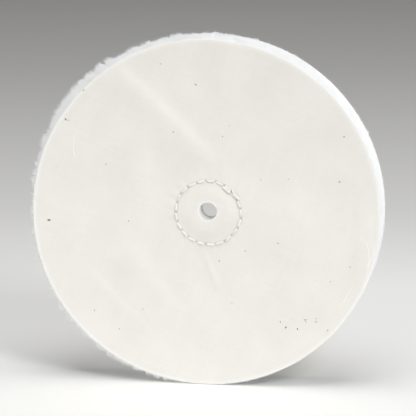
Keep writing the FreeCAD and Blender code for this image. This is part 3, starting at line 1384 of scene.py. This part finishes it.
@dataclass
class PlyStack:
    """All forty plies of the wheel."""

    stack: Stack
    cloth_finish: MuslinFinish = field(default_factory=MuslinFinish)
    husk_finish: HuskFinish = field(default_factory=HuskFinish)

    def declare(self, piece: bpy.types.Object, ply: ClothPly) -> None:
        """Attach the piece to the wheel's body and hide the frame's ply that it stands for.

        Args:
            piece: the finished piece.
            ply: the ply that it was made from.
        """
        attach(piece, BODY)
        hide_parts(ply.node)

    def build(self) -> None:
        """Make every ply, attach it to the body and hide the frame's ply that it replaces."""
        tufts = Tufts().table()
        cloth = self.cloth_finish.build(plain_weave(), soft_mottle())
        husk = self.husk_finish.build()
        for number in range(1, self.stack.plies + 1):
            fine = number in (1, self.stack.plies)
            ply = ClothPly(self.stack, number, fine, self.stack.seed, tufts)
            piece = ply.build(cloth, husk)
            self.declare(piece, ply)
            LOG.info("%s: %d faces", piece.name, len(piece.data.polygons))


# ---------------------------------------------------------------------------------------------
# The seam
# ---------------------------------------------------------------------------------------------


@dataclass
class Lockstitch:
    """One thread of the seam, laid up from three strands."""

    seam: Seam
    side: Side
    node: str
    surface: float
    strands: int = 3
    sides: int = 7
    lay: float = 2.8 * MM
    step: float = 0.16 * MM
    snug_radius: float = 0.27 * MM
    full_radius: float = 0.56 * MM
    thinnest: float = 0.74
    fullest: float = 1.12
    uneven_places: int = 110
    arch: float = 0.14
    shoulder: float = 0.38
    bend: float = 0.12
    plunge: float = 0.75
    link_height: float = 0.325
    turn_height: float = 3.24

    def seam_point(self, hole: float, along: float, across: float, height: float) -> tuple:
        """A point beside a needle hole: along the seam, outwards across it, and along the axis.

        Args:
            hole: number of the needle hole; a half lies midway to the next.
            along: distance along the seam, in mm.
            across: distance outwards across the seam, in mm.
            height: distance from the stack's middle towards this side, in mm.

        Returns:
            The point as (x, y, z), in metres.
        """
        angle = self.seam.hole_angle(hole)
        whole = math.floor(hole)
        share = hole - whole
        near, far = self.seam.centre(whole), self.seam.centre(whole + 1)
        x = near[0] + share * (far[0] - near[0])
        z = near[1] + share * (far[1] - near[1])
        x += (across * math.cos(angle) - along * math.sin(angle)) * MM
        z += (across * math.sin(angle) + along * math.cos(angle)) * MM
        return (x, self.side.value * height * MM, z)

    def crown(self, hole: int, leg: float, across: float, top: float) -> list[tuple]:
        """The part of a stitch that shows, from one needle hole to the next.

        Args:
            hole: number of the first needle hole.
            leg: how far along the seam each leg stands from its hole, in mm.
            across: how far outside the ring the stitch lies, in mm.
            top: height of the stitch above the middle of the stack, in mm.

        Returns:
            Control points as (hole, along, across, height).
        """
        return [
            (hole, leg, across, top - self.plunge),
            (hole, leg, across, top - self.bend),
            (hole, leg + self.shoulder, across, top),
            (hole + 0.5, 0.0, across, top + self.arch),
            (hole + 1, -leg - self.shoulder, across, top),
            (hole + 1, -leg, across, top - self.bend),
            (hole + 1, -leg, across, top - self.plunge),
        ]

    def loop(self, hole: int) -> list[tuple]:
        """The loop down a needle hole that links with the other thread.

        Args:
            hole: number of the needle hole.

        Returns:
            Control points as (hole, along, across, height).
        """
        leg = self.seam.leg_offset / MM
        low = -self.link_height
        if self.side is Side.FRONT:
            down = [(hole, -leg, 0.0, 0.6), (hole, -leg, 0.0, low)]
            up = [(hole, leg, 0.0, low), (hole, leg, 0.0, 0.6)]
            return down + up
        heights = (1.3, 0.6, low)
        down = [(hole, -leg, 0.0, 2.6), *((hole, 0.0, -leg, height) for height in heights)]
        up = [*((hole, 0.0, leg, height) for height in reversed(heights)), (hole, leg, 0.0, 2.6)]
        return down + up

    def route(self) -> list[tuple]:
        """Control points of the whole thread: two doubled stitches, then the first row.

        Returns:
            Control points as (x, y, z), in metres.
        """
        leg = self.seam.leg_offset / MM
        first = self.surface / MM + 0.26
        doubled = first + self.seam.doubled_raise / MM
        under = self.turn_height
        points = [(0, 0.0, leg, under)]
        points += self.crown(0, 0.0, leg, doubled)
        points += [(1, 0.0, leg, under + 0.3), (1, 0.0, leg * 0.4, under)]
        points += [(1, 0.0, -leg * 0.4, under), (1, 0.0, -leg, under + 0.3)]
        points += self.crown(1, 0.0, -leg, doubled)
        points += [(2, 0.0, -leg, under + 0.3), (2, leg, 0.0, under)]
        points += self.crown(2, leg, 0.0, first)
        last = self.seam.stitches + 2
        for hole in range(3, last):
            points += self.loop(hole)
            points += self.crown(hole, leg, 0.0, first)
        points.append((last, -leg, 0.0, under))
        return [self.seam_point(*point) for point in points]

    def centreline(self) -> np.ndarray:
        """The thread's line, read evenly from one smooth spline through its route.

        Returns:
            Points a step apart, one row each.
        """
        curve = bpy.data.curves.new("thread_route", "CURVE")
        curve.dimensions = "3D"
        route = self.route()
        spline = curve.splines.new("NURBS")
        spline.points.add(len(route) - 1)
        for point, place in zip(spline.points, route):
            point.co = (*place, 1.0)
        spline.use_endpoint_u = True
        spline.order_u = 3
        spline.resolution_u = 10
        line = bpy.data.objects.new("thread_route", curve)
        bpy.context.scene.collection.objects.link(line)
        graph = bpy.context.evaluated_depsgraph_get()
        mesh = bpy.data.meshes.new_from_object(line.evaluated_get(graph))
        co = positions(mesh)
        bpy.data.objects.remove(line)
        bpy.data.curves.remove(curve)
        bpy.data.meshes.remove(mesh)
        run = np.concatenate([[0.0], np.cumsum(np.linalg.norm(np.diff(co, axis=0), axis=1))])
        even = np.linspace(0.0, run[-1], int(run[-1] / self.step))
        return np.stack([np.interp(even, run, co[:, axis]) for axis in range(3)], axis=1)

    def carried_frames(self, line: np.ndarray) -> tuple[np.ndarray, np.ndarray]:
        """Two directions square to the line at each point, carried along it without twist.

        Args:
            line: points along the thread, one row each.

        Returns:
            The two directions at each point.
        """
        tangent = np.gradient(line, axis=0)
        tangent /= np.linalg.norm(tangent, axis=1, keepdims=True)
        normal = np.zeros_like(line)
        current = np.cross(tangent[0], (0.0, 1.0, 0.3))
        for index, direction in enumerate(tangent):
            current = current - direction * np.dot(current, direction)
            current /= np.linalg.norm(current)
            normal[index] = current
        return normal, np.cross(tangent, normal)

    def build(self, name: str, finish: bpy.types.Material) -> bpy.types.Object:
        """Lay the strands round the thread's line and make them one piece.

        Args:
            name: the piece's name.
            finish: the thread's material.

        Returns:
            The piece, in place.
        """
        line = self.centreline()
        normal, binormal = self.carried_frames(line)
        count = len(line)
        travelled = np.arange(count) * self.step
        shown = smooth_step(np.abs(line[:, 1]), self.surface - 0.1 * MM, self.surface + 0.3 * MM)
        rng = np.random.default_rng(31 + self.side.value)
        places = np.linspace(0.0, travelled[-1], self.uneven_places)
        fullness = rng.uniform(self.thinnest, self.fullest, self.uneven_places)
        lumps = np.interp(travelled, places, fullness)
        radius = (self.snug_radius + (self.full_radius - self.snug_radius) * shown) * lumps
        strand_radius = 0.5 * radius
        offset = 0.54 * radius
        around = 2.0 * math.pi * np.arange(self.sides) / self.sides
        verts, faces = [], []
        for strand in range(self.strands):
            turn = 2.0 * math.pi * (travelled / self.lay + strand / self.strands)
            outwards = normal * np.cos(turn)[:, None] + binormal * np.sin(turn)[:, None]
            sideways = binormal * np.cos(turn)[:, None] - normal * np.sin(turn)[:, None]
            centre = line + outwards * offset[:, None]
            ring = outwards[:, None] * np.cos(around)[:, None] + sideways[:, None] * np.sin(around)[:, None]
            tube = centre[:, None] + ring * strand_radius[:, None, None]
            start = len(verts) * count * self.sides
            verts.append(tube.reshape(-1, 3))
            index = start + np.arange(count * self.sides).reshape(count, self.sides)
            turned = np.roll(index, -1, axis=1)
            quads = np.stack([index[:-1], turned[:-1], turned[1:], index[1:]], axis=2).reshape(-1, 4)
            faces += quads.tolist()
            faces.append(index[0][::-1].tolist())
            faces.append(index[-1].tolist())
        mesh = bpy.data.meshes.new(name)
        mesh.from_pydata(np.concatenate(verts).tolist(), [], faces)
        corner = loop_corners(mesh)
        place = (corner // self.sides) % count
        side = corner % self.sides
        across = side / self.sides + corner // (count * self.sides)
        write_map(mesh, np.stack([place * self.step, across], axis=1))
        mesh.materials.append(finish)
        piece = bpy.data.objects.new(name, mesh)
        bpy.context.scene.collection.objects.link(piece)
        make_active(piece)
        smooth_piece(piece, 60.0)
        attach(piece, BODY)
        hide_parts(self.node)
        LOG.info("%s: %d faces", name, len(mesh.polygons))
        return piece


# ---------------------------------------------------------------------------------------------
# The studio
# ---------------------------------------------------------------------------------------------


@dataclass
class Studio:
    """A pale floor, soft lights and the camera."""

    floor_height: float
    azimuth: float = 9.0
    elevation: float = 10.0
    distance: float = 1.25
    lens: float = 246.5
    aim: tuple[float, float] = (-0.75 * MM, 0.58 * MM)
    floor_radius: float = 9.0
    # Painted light falloff: floor colour by distance from the wheel, pale near it and grey far off.
    painted_falloff_floor_levels: tuple[tuple[float, float], ...] = (
        (0.0, 0.89), (0.04, 0.90), (0.11, 0.93), (0.22, 0.81), (0.4, 0.77), (0.56, 0.72), (0.74, 0.69)
    )

    def lay_floor(self) -> bpy.types.Object:
        """A wide round floor, palest near the wheel: a painted pool of light that darkens to grey with
        distance.

        Returns:
            The floor.
        """
        deselect_all()
        bpy.ops.mesh.primitive_circle_add(vertices=96, radius=self.floor_radius, fill_type="NGON")
        floor = bpy.context.object
        floor.name = "floor"
        bpy.ops.object.mode_set(mode="EDIT")
        bpy.ops.mesh.select_all(action="SELECT")
        bpy.ops.mesh.inset(thickness=self.floor_radius * 0.8)
        bpy.ops.object.mode_set(mode="OBJECT")
        co = positions(floor.data)
        co[:, 2] = self.floor_height
        set_positions(floor.data, co)
        floor.data.materials.append(self.painted_falloff_floor_finish())
        return floor

    def painted_falloff_floor_finish(self) -> bpy.types.Material:
        """Pale paper with painted light falloff: its colour darkens to grey with distance from the wheel.

        Returns:
            The paper.
        """
        material, bench, shader = start_finish("floor_with_painted_falloff")
        place = bench.add("ShaderNodeTexCoord")
        flat = bench.scaled(place.outputs["Object"], (1.0, 1.0, 0.0))
        length = bench.add("ShaderNodeVectorMath", operation="LENGTH")
        bench.feed(length.inputs[0], flat)
        share = bench.between(length.outputs["Value"], 0.0, 2.0)
        # Painted light falloff: the floor's colour darkens with distance from the wheel.
        ramp = bench.add("ShaderNodeValToRGB")
        bench.feed(ramp.inputs[0], share)
        for index, (at, level) in enumerate(self.painted_falloff_floor_levels):
            stop = ramp.color_ramp.elements[0] if index == 0 else ramp.color_ramp.elements.new(at)
            stop.position = at
            stop.color = (level, level, level * 0.985, 1.0)
        ramp.color_ramp.elements[-1].color = (0.6, 0.6, 0.59, 1.0)
        bench.feed(shader.inputs["Base Color"], ramp.outputs["Color"])
        grain = bench.noise(place.outputs["Object"], 900.0, 2.0)
        add_roughness(bench, shader, grain, 0.85, 0.95)
        bench.feed(shader.inputs["Specular IOR Level"], 0.1)
        return material

    def soft_light(self, name: str, place: tuple, size: float, power: float) -> None:
        """Hang a square softbox turned to the wheel.

        Args:
            name: the light's name.
            place: where it hangs, in metres.
            size: the length of its side, in metres.
            power: its strength, in watts.
        """
        light = bpy.data.lights.new(name, "AREA")
        light.shape = "SQUARE"
        light.size = size
        light.energy = power
        obj = bpy.data.objects.new(name, light)
        bpy.context.scene.collection.objects.link(obj)
        obj.location = place
        obj.rotation_euler = Vector(place).to_track_quat("Z", "Y").to_euler()
        obj.visible_camera = False

    def hang_lights(self) -> None:
        """A key light on the right, a fill on the left, one overhead, and a soft surround."""
        self.soft_light("key_light", (0.72, -0.95, 0.78), 0.42, 8.2)
        self.soft_light("fill_light", (-0.95, -0.95, 0.40), 0.55, 2.8)
        self.soft_light("top_light", (0.05, -0.28, 1.25), 0.9, 9.5)
        world = bpy.data.worlds.new("surround")
        world.use_nodes = True
        background = world.node_tree.nodes["Background"]
        background.inputs["Color"].default_value = (1.0, 0.985, 0.96, 1.0)
        background.inputs["Strength"].default_value = 0.26
        bpy.context.scene.world = world
        bpy.context.scene.view_settings.view_transform = "Standard"

    def place_camera(self) -> None:
        """The camera stands far off and looks at the middle of the wheel."""
        azimuth, elevation = math.radians(self.azimuth), math.radians(self.elevation)
        away = Vector(
            (
                math.sin(azimuth) * math.cos(elevation),
                -math.cos(azimuth) * math.cos(elevation),
                math.sin(elevation),
            )
        )
        data = bpy.data.cameras.new("camera")
        data.lens = self.lens
        data.sensor_width = 36.0
        data.clip_end = 50.0
        camera = bpy.data.objects.new("camera", data)
        bpy.context.scene.collection.objects.link(camera)
        turn = away.to_track_quat("Z", "Y")
        target = turn @ Vector((self.aim[0], self.aim[1], 0.0))
        camera.location = target + away * self.distance
        camera.rotation_euler = turn.to_euler()
        bpy.context.scene.camera = camera

    def build(self) -> None:
        """Set up the whole studio."""
        self.lay_floor()
        self.hang_lights()
        self.place_camera()
        LOG.info("studio: floor at %.4f m", self.floor_height)


def main() -> None:
    """Build the wheel and its studio.
    """
    logging.basicConfig(level=logging.INFO, format="%(message)s")
    low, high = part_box("ply_01")
    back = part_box("ply_40")[1]
    stack = Stack(rim_radius=high.z, rim_half=(back.y - low.y) / 2)
    PlyStack(stack).build()
    thread = ThreadFinish().build()
    surface = stack.seam_half
    Lockstitch(stack.seam, Side.FRONT, "needle_thread", surface).build("needle_stitching", thread)
    Lockstitch(stack.seam, Side.BACK, "bobbin_thread", surface).build("bobbin_stitching", thread)
    Studio(floor_height=low.z).build()


if __name__ == "__main__":
    main()
